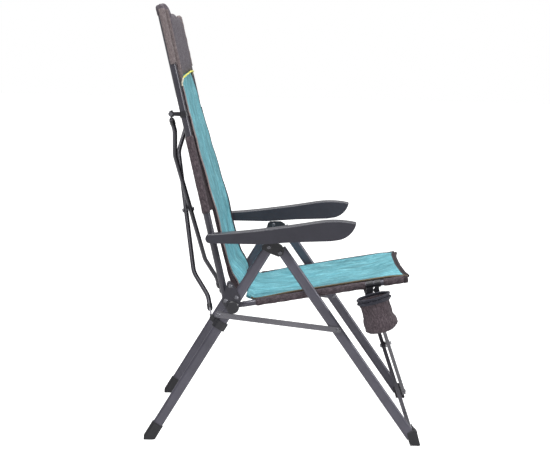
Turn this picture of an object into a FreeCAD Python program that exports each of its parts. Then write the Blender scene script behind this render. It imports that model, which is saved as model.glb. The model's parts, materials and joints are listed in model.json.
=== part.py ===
import FreeCAD
import Part
import math
import os

# High-backed camp armchair whose two rigid side frames close against each other.
# X forward, Y to the sitter's left, Z up, millimetres. The origin is on the floor,
# at the middle of the footprint. "right" is -Y and "left" is +Y.

V = FreeCAD.Vector
Y_AXIS = V(0, 1, 0)

# Side planes, as distances from the middle of the chair.
LEG_Y = 290.0
TUBE_Y = 270.0
ARM_INNER_Y = 284.0
ARM_WIDTH = 50.0
ARM_CHAMFER = 2.4
BRACE_Y = 226.0
BOSS_Y = 266.0
PIN_END_Y = 238.0
STUB_END_Y = 257.0

# Points of a side frame, as (x, z).
REAR_LEG_TOP = (-42.0, 540.0)
REAR_LEG_FOOT = (-350.5, 25.0)
FRONT_LEG_TOP = (-10.0, 527.0)
FRONT_LEG_FOOT = (353.0, 22.0)
BACK_PIVOT = (-159.0, 387.0)
SEAT_PIVOT = (-139.0, 370.0)
HINGE_RIVET = (-129.5, 396.0)
PLATE_RIVET = (-146.5, 428.0)
LINK_REAR = (-178.0, 348.5)
LINK_FRONT = (147.0, 314.0)
BRACKET_RIVETS = [(-44.0, 536.0), (-14.0, 521.0)]

# Tubes.
LEG_W = 28.0
LEG_T = 14.0
LEG_WALL = 1.5
BACK_R = 9.5
SEAT_R = 8.0
TUBE_WALL = 1.5
BACK_LEAN = 13.57
BACK_LENGTH = 800.0
SEAT_RISE = 10.1
SEAT_START = 26.0
SEAT_LENGTH = 478.0

# Rivets, pins and running fits.
PIN_R = 3.5
RIVET_R = 3.0
HEAD_R = 6.0
HEAD_T = 2.2
RUN = 0.05
PLATE_T = 3.0
KNOB_R = 17.2

# Rear brace: two bent round tubes that cross.
REAR_LOW = (-196.0, 336.0)
REAR_TOP = (-314.5, 886.5)
REAR_R = 6.5
REAR_WALL = 1.2
TONGUE_T = 3.2
TONGUE_OFF = 5.9
END_OFF = 6.5
TUBE_START = 18.0
BOW_A = 25.0
BOW_B = 38.5

# Front brace: two straight flat struts that cross.
FRONT_LOW = (360.5, 32.0)
FRONT_TOP = (228.5, 412.0)
STRUT_W = 21.0
STRUT_T = 11.0
STRUT_OFF = 7.5

# Sling and headrest.
SLEEVE_T = 1.6
PANEL_Y = 255.5
BACK_T = 12.0
SEAT_T = 9.0
HEAD_FROM = 650.0

# Cup holder.
CUP_CENTRE = (237.0, 330.0, 412.0)
CUP_R = 44.0
CUP_DEPTH = 92.0
CUP_TILT = 16.0
CUP_WALL = 2.0

# Everything above is measured from the plane midway between the side frames; the cup holder makes the
# bounding box wider on the right, and this puts the middle of the box over the origin.
CENTRE_SHIFT = V(0.0, 21.5, 0.0)

SIDES = [("right", -1.0), ("left", 1.0)]

os.makedirs("parts", exist_ok=True)
parts = {}


# ---------------------------------------------------------------- helpers

def at(point, y):
    return V(point[0], y, point[1])


def direction(a, b):
    d = V(b[0] - a[0], 0, b[1] - a[1])
    d.normalize()
    return d


def rod(point, y0, y1, radius):
    """A cylinder along Y between two distances from the middle."""
    low = min(y0, y1)
    return Part.makeCylinder(radius, abs(y1 - y0), at(point, low), Y_AXIS)


def rivet(point, s, inner, outer, radius=RIVET_R):
    """A pin along Y with a low head at each end; inner and outer are where its heads seat."""
    shape = rod(point, s * inner, s * outer, radius)
    for seat, way in ((inner, -s), (outer, s)):
        head = Part.makeCone(HEAD_R, HEAD_R * 0.62, HEAD_T, at(point, s * seat), V(0, way, 0))
        shape = shape.fuse(head)
    return shape.removeSplitter()


def plate(points, y0, y1):
    """A closed outline in the XZ plane, as thick as the two distances leave."""
    wire = Part.makePolygon([at(p, min(y0, y1)) for p in points + points[:1]])
    return Part.Face(wire).extrude(V(0, abs(y1 - y0), 0))


def hull_plate(circles, y0, y1):
    """A plate whose outline wraps circles (x, z, radius) joined one to the next by their tangents."""
    shape = None
    for x, z, r in circles:
        disc = rod((x, z), y0, y1, r)
        shape = disc if shape is None else shape.fuse(disc)
    for (xa, za, ra), (xb, zb, rb) in zip(circles, circles[1:]):
        a = V(xa, 0, za)
        b = V(xb, 0, zb)
        d = b.sub(a)
        length = d.Length
        turn = math.acos((ra - rb) / length)
        base = math.atan2(d.z, d.x)
        pts = []
        for centre, r, sign in ((a, ra, 1), (b, rb, 1), (b, rb, -1), (a, ra, -1)):
            ang = base + sign * turn
            pts.append((centre.x + r * math.cos(ang), centre.z + r * math.sin(ang)))
        shape = shape.fuse(plate(pts, y0, y1))
    return shape.removeSplitter()


def slot_face(centre, across, normal, width, thick):
    """A flat-oval face: straight sides along across, round ends, normal to the tube."""
    side = normal.cross(across)
    side.normalize()
    half = (width - thick) / 2.0
    r = thick / 2.0
    a = centre + across * half + side * r
    b = centre - across * half + side * r
    c = centre - across * half - side * r
    d = centre + across * half - side * r
    wire = Part.Wire([
        Part.LineSegment(a, b).toShape(),
        Part.Arc(b, centre - across * (half + r), c).toShape(),
        Part.LineSegment(c, d).toShape(),
        Part.Arc(d, centre + across * (half + r), a).toShape(),
    ])
    return Part.Face(wire)


def oval_tube(start, end, y, width, thick, wall=0.0):
    """A flat-oval tube, wide in the side plane and thin across it."""
    d = direction(start, end)
    across = d.cross(Y_AXIS)
    run = at(end, y) - at(start, y)
    outer = slot_face(at(start, y), across, d, width, thick).extrude(run)
    if wall <= 0:
        return outer
    inner = slot_face(at(start, y), across, d, width - 2 * wall, thick - 2 * wall).extrude(run)
    return outer.cut(inner)


def on_line(start, way, distance):
    return (start[0] + way.x * distance, start[1] + way.z * distance)


def cut_all(shape, tools):
    for tool in tools:
        shape = shape.cut(tool)
    return shape


def bent_tube(points, radius, bend):
    """A round rod along straight runs joined by tangent arcs."""
    edges = []
    start = points[0]
    for i in range(1, len(points) - 1):
        before = (points[i] - points[i - 1])
        after = (points[i + 1] - points[i])
        before.normalize()
        after.normalize()
        turn = before.getAngle(after)
        back = bend * math.tan(turn / 2.0)
        p = points[i] - before * back
        q = points[i] + after * back
        middle = after - before
        middle.normalize()
        centre_gap = bend / math.cos(turn / 2.0) - bend
        m = points[i] + middle * centre_gap
        edges.append(Part.LineSegment(start, p).toShape())
        edges.append(Part.Arc(p, m, q).toShape())
        start = q
    edges.append(Part.LineSegment(start, points[-1]).toShape())
    wire = Part.Wire(edges)
    way = points[1] - points[0]
    ring = Part.Wire([Part.makeCircle(radius, points[0], way)])
    return wire.makePipeShell([ring], True, False)


# Directions used by several pieces.
rear_leg_way = direction(REAR_LEG_TOP, REAR_LEG_FOOT)
front_leg_way = direction(FRONT_LEG_TOP, FRONT_LEG_FOOT)
back_way = V(-math.sin(math.radians(BACK_LEAN)), 0, math.cos(math.radians(BACK_LEAN)))
back_front = V(back_way.z, 0, -back_way.x)
seat_way = V(math.cos(math.radians(SEAT_RISE)), 0, math.sin(math.radians(SEAT_RISE)))
seat_up = V(-seat_way.z, 0, seat_way.x)


def on_back(distance, forward=0.0):
    """A point up the backrest tube from its pivot, and in front of the tube's centre line."""
    return (BACK_PIVOT[0] + back_way.x * distance + back_front.x * forward,
            BACK_PIVOT[1] + back_way.z * distance + back_front.z * forward)


def on_seat(distance, up=0.0):
    """A point forward along the seat tube from its pivot, and above its centre line."""
    return (SEAT_PIVOT[0] + seat_way.x * distance + seat_up.x * up,
            SEAT_PIVOT[1] + seat_way.z * distance + seat_up.z * up)


ARM_PIVOT = on_back(175.0)


# ---------------------------------------------------------------- side frames

def side_rivets(s):
    """Every pin and rivet that is fast in a side frame."""
    leg_in = LEG_Y - LEG_T / 2
    leg_out = LEG_Y + LEG_T / 2
    plate_out = leg_out + PLATE_T
    pins = []
    for point in BRACKET_RIVETS:
        pins.append(rivet(point, s, leg_in - 4.0, leg_out + 4.0))
    pins.append(rivet(HINGE_RIVET, s, leg_in, plate_out))
    pins.append(rivet(PLATE_RIVET, s, leg_out, plate_out))
    for point in (LINK_REAR, LINK_FRONT):
        pins.append(rivet(point, s, leg_in, leg_out + 4.0))
    for point in (BACK_PIVOT, SEAT_PIVOT):
        pins.append(rivet(point, s, TUBE_Y - 13.5, plate_out, PIN_R))
    return pins


def side_frame(name, s):
    y = s * LEG_Y
    leg_in = s * (LEG_Y - LEG_T / 2)
    leg_out = s * (LEG_Y + LEG_T / 2)
    pins = side_rivets(s)

    rear = oval_tube(REAR_LEG_TOP, REAR_LEG_FOOT, y, LEG_W, LEG_T, LEG_WALL)
    front_end = on_line(FRONT_LEG_TOP, front_leg_way, -4.0)
    front = oval_tube(front_end, FRONT_LEG_FOOT, y, LEG_W, LEG_T, LEG_WALL)
    front = front.cut(oval_tube(REAR_LEG_TOP, REAR_LEG_FOOT, y, LEG_W + 0.2, LEG_T + 2))

    # The link's ends, and the ear that carries its rear end behind the rear leg.
    ear = hull_plate([(LINK_REAR[0], LINK_REAR[1], 8.5), (LINK_REAR[0] + 14, LINK_REAR[1] - 1, 8.5)],
                     leg_in, leg_out)
    ear = ear.cut(oval_tube(REAR_LEG_TOP, REAR_LEG_FOOT, y, LEG_W, LEG_T))
    link = hull_plate([(LINK_REAR[0], LINK_REAR[1], 7.5), (LINK_FRONT[0], LINK_FRONT[1], 7.5)],
                      leg_out, leg_out + s * 4.0).fuse(ear)
    outline = [(SEAT_PIVOT[0], SEAT_PIVOT[1], 16.5), (BACK_PIVOT[0] + 4, BACK_PIVOT[1] + 1, 14.0),
               (PLATE_RIVET[0], PLATE_RIVET[1], 10.0), (HINGE_RIVET[0], HINGE_RIVET[1], 11.0)]
    outer_plate = hull_plate(outline + outline[:1], leg_out, leg_out + s * PLATE_T)
    inner_plate = hull_plate([(BACK_PIVOT[0], BACK_PIVOT[1], 10.0), (SEAT_PIVOT[0], SEAT_PIVOT[1], 10.0)],
                             s * (TUBE_Y - 10.5), s * (TUBE_Y - 13.5))

    # Bracket: two cheeks and a crown over the tops of both legs.
    crown = [(-64.0, 531.0), (-62.0, 540.0), (-56.0, 544.5), (-40.0, 546.2), (-22.0, 546.2),
             (-10.0, 540.0), (-3.0, 528.0), (-6.0, 516.0), (-18.0, 510.0), (-40.0, 518.0)]
    bracket = plate(crown, leg_in - s * 4.0, leg_out + s * 4.0)
    bracket = bracket.cut(oval_tube(on_line(REAR_LEG_TOP, rear_leg_way, 0.0), REAR_LEG_FOOT, y, LEG_W, LEG_T))
    bracket = bracket.cut(oval_tube(front_end, FRONT_LEG_FOOT, y, LEG_W, LEG_T))

    # Round cover over the seat's hinge.
    knob = rod(SEAT_PIVOT, leg_out + s * PLATE_T, leg_out + s * (PLATE_T + 3.0), KNOB_R)
    knob = knob.fuse(Part.makeCone(KNOB_R, KNOB_R - 3.0, 2.5, at(SEAT_PIVOT, leg_out + s * (PLATE_T + 3.0)), Y_AXIS * s))

    parts["hinge_knob_" + name] = cut_all(knob, pins)
    parts["rear_leg_" + name] = cut_all(rear, pins)
    parts["front_leg_" + name] = cut_all(front, pins)
    parts["link_bar_" + name] = cut_all(link, pins)
    parts["hinge_plate_outer_" + name] = cut_all(outer_plate, pins)
    parts["hinge_plate_inner_" + name] = cut_all(inner_plate, pins)
    parts["arm_bracket_" + name] = cut_all(bracket, pins)
    parts["frame_rivets_" + name] = Part.makeCompound(pins)
    feet(name, s)


def rear_cap(y):
    """A moulded cup over the rear leg's end, flat on the floor and trimmed upright at the back."""
    top = on_line(REAR_LEG_FOOT, rear_leg_way, -22.0)
    low = on_line(REAR_LEG_FOOT, rear_leg_way, 60.0)
    cup = oval_tube(top, low, y, LEG_W + 5.0, LEG_T + 7.0)
    cup = cup.cut(Part.makeBox(400, 100, 200, V(-500, y - 50, -200)))
    return cup.cut(Part.makeBox(100, 100, 200, V(-477.0, y - 50, -50)))


def front_cap(y):
    """The front leg's cup, which turns more upright than the leg."""
    half = (LEG_T + 7.0) / 2.0
    outline = [(340.0, 33.0), (344.0, 36.5), (361.0, 46.5), (366.5, 41.0), (377.0, 3.5), (375.0, 0.0),
               (350.0, 0.0), (344.0, 15.0)]
    block = plate(outline, y - half, y + half)
    long_edges = [e for e in block.Edges if abs(e.Vertexes[0].Y - e.Vertexes[-1].Y) < 0.01]
    return block.makeChamfer(2.5, [e for e in long_edges if e.BoundBox.ZMin > 1.0])


def feet(name, s):
    y = s * LEG_Y
    rear = rear_cap(y)
    rear = rear.cut(oval_tube(REAR_LEG_TOP, REAR_LEG_FOOT, y, LEG_W, LEG_T))
    front = front_cap(y)
    boss = rod(FRONT_LOW, s * BOSS_Y, s * (LEG_Y - 4.0), 9.0)
    web = rod((FRONT_LOW[0] - 8, FRONT_LOW[1] - 4), s * (BOSS_Y + 4), s * LEG_Y, 9.0)
    front = front.fuse(boss).fuse(web)
    front = front.cut(oval_tube(FRONT_LEG_TOP, FRONT_LEG_FOOT, y, LEG_W, LEG_T))
    if name == "right":
        front = front.cut(rod(FRONT_LOW, s * (BOSS_Y - 1), s * (BOSS_Y + 14), RIVET_R + RUN))
    else:
        front = front.fuse(rod(FRONT_LOW, s * STUB_END_Y, s * (BOSS_Y + 4), PIN_R))
    parts["rear_foot_" + name] = rear.removeSplitter()
    parts["front_foot_" + name] = front.removeSplitter()


# ---------------------------------------------------------------- backrest, arms and seat

def tube_along(start, end, y, radius, wall):
    way = at(end, y) - at(start, y)
    outer = Part.makeCylinder(radius, way.Length, at(start, y), way)
    if wall <= 0:
        return outer
    return outer.cut(Part.makeCylinder(radius - wall, way.Length, at(start, y), way))


def sleeve(start, end, y, radius):
    outer = tube_along(start, end, y, radius + SLEEVE_T, 0)
    return outer.cut(tube_along(start, end, y, radius + 0.08, 0))


def arm_bolt(s):
    bolt = rivet(ARM_PIVOT, s, TUBE_Y - BACK_R, ARM_INNER_Y + 9.0, PIN_R)
    return bolt.fuse(rod(ARM_PIVOT, s * (TUBE_Y + BACK_R + 0.2), s * (ARM_INNER_Y - 0.4), 7.0)).removeSplitter()


def backrest(name, s):
    y = s * TUBE_Y
    tube = tube_along(on_back(4.0), on_back(BACK_LENGTH), y, BACK_R, TUBE_WALL)
    eye = rod(BACK_PIVOT, s * (TUBE_Y - 8.0), s * (TUBE_Y + 8.0), 10.0)
    plug = tube_along(on_back(0.0), on_back(22.0), y, BACK_R - TUBE_WALL, 0)
    tube = tube.fuse(eye).fuse(plug)
    tube = tube.cut(rod(BACK_PIVOT, s * 240, s * 300, PIN_R + RUN))
    tube = tube.cut(arm_bolt(s))

    # Clip that carries the rear brace's upper end behind the tube.
    level = 514.0
    ring = tube_along(on_back(level - 8), on_back(level + 8), y, BACK_R + 2.4, 0)
    boss = rod(REAR_TOP, s * BOSS_Y, s * (TUBE_Y + 8.0), 6.5)
    web = hull_plate([(REAR_TOP[0], REAR_TOP[1], 5.0), (on_back(level)[0], on_back(level)[1], 6.0)],
                     s * (BOSS_Y + 1), s * (TUBE_Y + 7.0))
    clip = ring.fuse(web).fuse(boss)
    clip = clip.cut(tube_along(on_back(0), on_back(BACK_LENGTH), y, BACK_R, 0))
    if name == "right":
        clip = clip.cut(rod(REAR_TOP, s * (BOSS_Y - 1), s * (TUBE_Y + 9), RIVET_R))
    else:
        clip = clip.fuse(rod(REAR_TOP, s * (BRACE_Y - 9.0), s * (BOSS_Y + 4), PIN_R))
    parts["back_tube_" + name] = tube.removeSplitter()
    parts["brace_clip_" + name] = clip.removeSplitter()
    parts["back_sleeve_" + name] = sleeve(on_back(241.0), on_back(453.0), y, BACK_R)
    head = tube_along(on_back(HEAD_FROM), on_back(BACK_LENGTH + 13), y, BACK_R + SLEEVE_T + 1.5, 0)
    parts["head_sleeve_" + name] = head.cut(tube_along(on_back(0), on_back(BACK_LENGTH), y, BACK_R + 0.05, 0))


def armrest(name, s):
    """Moulded arm: low at the rear, rising to a rounded tip, hollow from below outside its rail."""
    lower = [(-200.0, 546.4), (-66.0, 546.4), (24.5, 554.0), (120.0, 558.5), (142.0, 562.0)]
    upper = [(187.5, 607.5), (160.0, 611.5), (115.5, 612.0), (54.5, 603.0), (-37.5, 588.5), (-136.5, 576.0),
             (-205.0, 570.5)]
    inner = ARM_INNER_Y
    low_edge = [Part.LineSegment(at(a, 0), at(b, 0)).toShape() for a, b in zip(lower, lower[1:])]
    nose = Part.Arc(at(lower[-1], 0), at((172.0, 578.5), 0), at(upper[0], 0)).toShape()
    crown = Part.BSplineCurve()
    crown.interpolate([at(p, 0) for p in upper])
    heel = Part.Arc(at(upper[-1], 0), at((-213.5, 557.0), 0), at(lower[0], 0)).toShape()
    face = Part.Face(Part.Wire(low_edge + [nose, crown.toShape(), heel]))
    face.translate(V(0, inner if s > 0 else -inner - ARM_WIDTH, 0))
    arm = face.extrude(V(0, ARM_WIDTH, 0))
    top_edges = [e for e in arm.Edges if e.BoundBox.YLength < 0.01 and e.BoundBox.XLength > 300 and
                 e.CenterOfMass.z > 580]
    arm = arm.makeChamfer(ARM_CHAMFER, top_edges)
    pocket = plate([(-180, 540), (-60, 540), (28, 549), (128, 554), (128, 600), (-180, 566)],
                   s * (inner + 24.0), s * (inner + ARM_WIDTH - 4.0))
    arm = arm.cut(pocket)
    arm = arm.cut(rod(ARM_PIVOT, s * (inner - 1), s * (inner + 9.0), PIN_R + RUN))
    arm = arm.cut(rod(ARM_PIVOT, s * (inner + 9.0), s * (inner + 24.5), HEAD_R + 1.5))
    parts["armrest_" + name] = arm.removeSplitter()
    parts["arm_bolt_" + name] = arm_bolt(s)


def seat(name, s):
    y = s * TUBE_Y
    tube = tube_along(on_seat(SEAT_START), on_seat(SEAT_LENGTH), y, SEAT_R, TUBE_WALL)
    tongue = hull_plate([(SEAT_PIVOT[0], SEAT_PIVOT[1], 7.5),
                         (on_seat(SEAT_START + 16)[0], on_seat(SEAT_START + 16)[1], 6.4)],
                        s * (TUBE_Y - 3.0), s * (TUBE_Y + 3.0))
    tube = tube.fuse(tongue).cut(rod(SEAT_PIVOT, s * 240, s * 300, PIN_R + RUN))
    reach = FRONT_TOP[0] - SEAT_PIVOT[0]
    level = reach / seat_way.x
    block = tube_along(on_seat(level - 8), on_seat(level + 11), y, SEAT_R + 2.2, 0)
    web = hull_plate([(FRONT_TOP[0], FRONT_TOP[1], 9.0), (on_seat(level + 1)[0], on_seat(level + 1)[1], 7.0)],
                     s * BOSS_Y, s * (TUBE_Y + 8.0))
    clamp = block.fuse(web)
    clamp = clamp.fuse(rod(FRONT_TOP, s * (TUBE_Y + 7.5), s * (TUBE_Y + 10.0), HEAD_R))
    clamp = clamp.cut(tube_along(on_seat(0), on_seat(SEAT_LENGTH), y, SEAT_R, 0))
    clamp = clamp.fuse(rod(FRONT_TOP, s * PIN_END_Y, s * (BOSS_Y + 4), PIN_R))
    parts["seat_tube_" + name] = tube.removeSplitter()
    parts["seat_clamp_" + name] = clamp.removeSplitter()
    rear_part = sleeve(on_seat(62.0), on_seat(level - 10), y, SEAT_R)
    front_part = sleeve(on_seat(level + 40), on_seat(SEAT_LENGTH), y, SEAT_R)
    parts["seat_sleeve_" + name] = Part.makeCompound([rear_part, front_part])


# ---------------------------------------------------------------- braces

def brace_axes(low, top):
    """Up and forward-normal directions of a brace's plane."""
    up = direction(low, top)
    return up, V(up.z, 0, -up.x)


def box_at(origin, a, b, c, size_a, size_b, size_c):
    """A box about origin, with the given half sizes along three directions."""
    corner = origin - a * size_a - b * size_b
    pts = [corner, corner + a * (2 * size_a), corner + a * (2 * size_a) + b * (2 * size_b), corner + b * (2 * size_b)]
    face = Part.Face(Part.makePolygon([p - c * size_c for p in pts + pts[:1]]))
    return face.extrude(c * (2 * size_c))


def lug(low, top, point, s, washer_way):
    """A flat ear in the brace's plane with a round root on the brace's Y axis, and a washer on one face."""
    up, normal = brace_axes(low, top)
    inner_end = BRACE_Y - 9.0
    outer_end = BOSS_Y - 14.0
    middle = at(point, s * (inner_end + outer_end) / 2.0)
    flat = box_at(middle, up, Y_AXIS, normal, 9.0, (outer_end - inner_end) / 2.0, 1.5)
    pivot = at(point, s * BRACE_Y)
    washer = Part.makeCylinder(7.0, TONGUE_OFF - TONGUE_T / 2.0 - 0.1, pivot, normal * washer_way)
    root = rod(point, s * (BOSS_Y - 16.0), s * (BOSS_Y - 0.4), 7.0)
    return flat.fuse(washer).fuse(root)


def brace_line(low, top, first_side):
    """End points and directions of the tube that starts low on one side and ends high on the other."""
    a = at(low, first_side * BRACE_Y)
    b = at(top, -first_side * BRACE_Y)
    along = b - a
    length = along.Length
    along.normalize()
    normal = brace_axes(low, top)[1]
    return a, along, normal, normal.cross(along), length


def rear_tube(first_side, bow):
    """One bent tube of the rear brace with a flat tongue at each end, and the two caps round it."""
    a, along, normal, wide, length = brace_line(REAR_LOW, REAR_TOP, first_side)
    depth = [(TUBE_START, END_OFF), (62.0, END_OFF), (148.0, bow), (length - 148.0, bow), (length - 62.0, END_OFF),
             (length - TUBE_START, END_OFF)]
    pts = [a + along * t - normal * d for t, d in depth]
    tube = bent_tube(pts, REAR_R, 90.0).cut(bent_tube(pts, REAR_R - REAR_WALL, 90.0))
    back_face = TONGUE_OFF + TONGUE_T / 2.0
    caps = []
    for t, way in ((0.0, 1.0), (length, -1.0)):
        end = a + along * t
        reach = TUBE_START / 2.0 + 1.5
        tongue = box_at(end + along * (way * reach) - normal * TONGUE_OFF, along, wide, normal,
                        reach, 8.0, TONGUE_T / 2.0)
        disc = Part.makeCylinder(8.0, TONGUE_T, end - normal * back_face, normal)
        head = Part.makeCone(HEAD_R, HEAD_R * 0.62, HEAD_T, end - normal * back_face, normal * -1)
        tube = tube.fuse(tongue).fuse(disc).fuse(head)
    for start, nxt in ((pts[0], pts[1]), (pts[-1], pts[-2])):
        way = nxt - start
        way.normalize()
        cap = Part.makeCylinder(REAR_R + 1.2, 14.0, start + way * 4.0, way)
        caps.append(cap.cut(Part.makeCylinder(REAR_R, 18.0, start + way * 2.0, way)))
    middle = a + along * (length / 2.0)
    return tube, caps, middle, normal


def rear_brace():
    tube_a, caps_a, middle, normal = rear_tube(1.0, BOW_A)
    tube_b, caps_b, middle, normal = rear_tube(-1.0, BOW_B)
    first = BOW_A - REAR_R - 0.6
    last = BOW_B + REAR_R + 0.6
    hub = Part.makeCylinder(RIVET_R, last - first, middle - normal * last, normal)
    for depth, way in ((first, 1.0), (last, -1.0)):
        head = Part.makeCone(HEAD_R + 1, HEAD_R * 0.7, HEAD_T + 1.2, middle - normal * depth, normal * way)
        hub = hub.fuse(head)
    eye = at(REAR_TOP, -BRACE_Y)
    shank = Part.makeCylinder(RIVET_R - 0.4, TONGUE_OFF + 3.2, eye - normal * TONGUE_OFF, normal)
    foot = Part.makeCone(HEAD_R, HEAD_R * 0.7, HEAD_T, eye + normal * 1.7, normal)
    pivot = shank.fuse(foot).removeSplitter()
    yoke = lug(REAR_LOW, REAR_TOP, REAR_TOP, -1.0, -1.0)
    yoke = yoke.cut(Part.makeCylinder(RIVET_R - 0.4 + RUN, 20.0, eye - normal * 10.0, normal))
    yoke = yoke.cut(rod(REAR_TOP, -(BOSS_Y - 12.0), -(BOSS_Y + 1.0), RIVET_R + RUN))
    turning_pin = rod(REAR_TOP, -(BOSS_Y - 11.5), -(TUBE_Y + 9.0), RIVET_R)
    turning_pin = turning_pin.fuse(rod(REAR_TOP, -(TUBE_Y + 8.3), -(TUBE_Y + 10.8), HEAD_R - 0.5))
    hole = Part.makeCylinder(RIVET_R + RUN, 40.0, middle - normal * (last + 5), normal)
    parts["rear_brace_tube_a"] = tube_a.cut(hub).cut(pivot).removeSplitter()
    parts["rear_brace_tube_b"] = tube_b.cut(hole).removeSplitter()
    parts["rear_brace_caps_a"] = Part.makeCompound(caps_a)
    parts["rear_brace_caps_b"] = Part.makeCompound(caps_b)
    parts["rear_brace_rivets"] = Part.makeCompound([hub.removeSplitter(), pivot])
    parts["rear_brace_yoke"] = yoke.removeSplitter()
    parts["rear_brace_pin"] = turning_pin.removeSplitter()


def slider(name, s):
    """Collar that runs down the rear leg, with the stub at its back that the brace's lower end meets."""
    y = s * LEG_Y
    middle = on_line(REAR_LEG_TOP, rear_leg_way, 256.0)
    top = on_line(middle, rear_leg_way, -11.0)
    low = on_line(middle, rear_leg_way, 11.0)
    collar = oval_tube(top, low, y, LEG_W + 10.0, LEG_T + 10.0)
    boss = rod(REAR_LOW, s * BOSS_Y, s * (BOSS_Y + 16.0), 7.0)
    web = hull_plate([(REAR_LOW[0], REAR_LOW[1], 6.0), (middle[0], middle[1], 8.0)],
                     s * (BOSS_Y + 9.0), s * (BOSS_Y + 16.0))
    collar = collar.fuse(boss).fuse(web)
    collar = collar.cut(oval_tube(REAR_LEG_TOP, REAR_LEG_FOOT, y, LEG_W + 0.7, LEG_T + 0.7))
    collar = collar.fuse(rod(REAR_LOW, s * PIN_END_Y, s * (BOSS_Y + 4), PIN_R))
    parts["slider_" + name] = collar.removeSplitter()


def strut(first_side, offset):
    """A flat-oval strut with round ends, drilled at the crossing and at both ends."""
    a, along, normal, wide, length = brace_line(FRONT_LOW, FRONT_TOP, first_side)
    centre = a + normal * offset
    body = slot_face(centre + along * (length / 2.0), along, normal, length + STRUT_W, STRUT_W)
    body.translate(normal * (-STRUT_T / 2.0))
    shape = body.extrude(normal * STRUT_T)
    heads = []
    way = 1.0 if offset > 0 else -1.0
    for t in (0.0, length):
        seat_point = a + along * t + normal * (offset + way * STRUT_T / 2.0)
        heads.append(Part.makeCone(HEAD_R, HEAD_R * 0.62, HEAD_T, seat_point, normal * way))
    for head in heads:
        shape = shape.fuse(head)
    return shape, a + along * (length / 2.0), normal


def front_brace():
    strut_a, middle, normal = strut(1.0, STRUT_OFF)
    strut_b, middle, normal = strut(-1.0, -STRUT_OFF)
    reach = STRUT_OFF + STRUT_T / 2.0
    gap = STRUT_OFF - STRUT_T / 2.0
    hub = Part.makeCylinder(RIVET_R, 2 * reach + 0.6, middle - normal * reach, normal)
    for depth, way in ((reach + 0.6, 1.0), (-reach, -1.0)):
        head = Part.makeCone(HEAD_R + 1, HEAD_R * 0.6, HEAD_T + 2.2, middle + normal * depth, normal * way)
        hub = hub.fuse(head)
    hub = hub.fuse(Part.makeCylinder(9.0, 2 * gap - 0.3, middle - normal * gap, normal))
    eye = at(FRONT_LOW, -BRACE_Y)
    shank = Part.makeCylinder(RIVET_R - 0.4, STRUT_OFF + 3.2, eye - normal * STRUT_OFF, normal)
    pivot = shank.fuse(Part.makeCone(HEAD_R, HEAD_R * 0.6, HEAD_T, eye + normal * 1.7, normal)).removeSplitter()
    ear = lug(FRONT_LOW, FRONT_TOP, FRONT_LOW, -1.0, -1.0)
    ear = ear.fuse(rod(FRONT_LOW, -(BOSS_Y - 1.0), -(BOSS_Y + 12.0), RIVET_R))
    ear = ear.cut(Part.makeCylinder(9.0, 20.0, eye - normal * (gap - 0.1 + 20.0), normal))
    ear = ear.cut(Part.makeCylinder(RIVET_R - 0.4 + RUN, 20.0, eye - normal * 10.0, normal))
    parts["front_brace_strut_b"] = strut_b.cut(hub).cut(pivot).removeSplitter()
    hole = Part.makeCylinder(RIVET_R + RUN, 30.0, middle - normal * 10.0, normal)
    parts["front_brace_strut_a"] = strut_a.cut(hole).removeSplitter()
    parts["front_brace_rivets"] = Part.makeCompound([hub.removeSplitter(), pivot])
    parts["front_brace_ear"] = ear.removeSplitter()


# ---------------------------------------------------------------- sling, headrest and cup holder

def band(points, thick, half_width):
    """A sheet of even thickness that follows a profile, across the chair."""
    tops = []
    lows = []
    for i, p in enumerate(points):
        a = points[max(i - 1, 0)]
        b = points[min(i + 1, len(points) - 1)]
        d = direction(a, b)
        side = V(-d.z, 0, d.x)
        tops.append((p[0] + side.x * thick / 2, p[1] + side.z * thick / 2))
        lows.append((p[0] - side.x * thick / 2, p[1] - side.z * thick / 2))
    return plate(tops + lows[::-1], -half_width, half_width)


def sling():
    back = [on_back(606.0, 4.5), on_back(530.0, 8.0), on_back(470.0, 11.5), on_back(385.0, 14.5),
            on_back(310.0, 18.5), on_back(232.0, 23.0), on_back(180.0, 22.8), on_back(130.0, 22.3),
            on_back(88.0, 24.5), (-135.5, 437.0), (-121.5, 407.5)]
    seat_points = [(-103.0, 399.5), (-92.0, 391.5), on_seat(80.0, 8.5), on_seat(470.0, 8.5)]
    parts["back_panel"] = band(back, BACK_T, PANEL_Y)
    parts["seat_panel"] = band(seat_points, SEAT_T, PANEL_Y - 1.0)
    pad = [on_back(612.0, 9.0), on_back(617.0, 17.0), on_back(650.0, 21.5), on_back(700.0, 23.0),
           on_back(745.0, 22.5), on_back(780.0, 19.0), on_back(797.0, 12.0), on_back(801.0, 3.0),
           on_back(797.0, -5.0), on_back(700.0, -3.0), on_back(640.0, 2.0)]
    parts["headrest"] = plate(pad, -(PANEL_Y - 3.0), PANEL_Y - 3.0)


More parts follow.
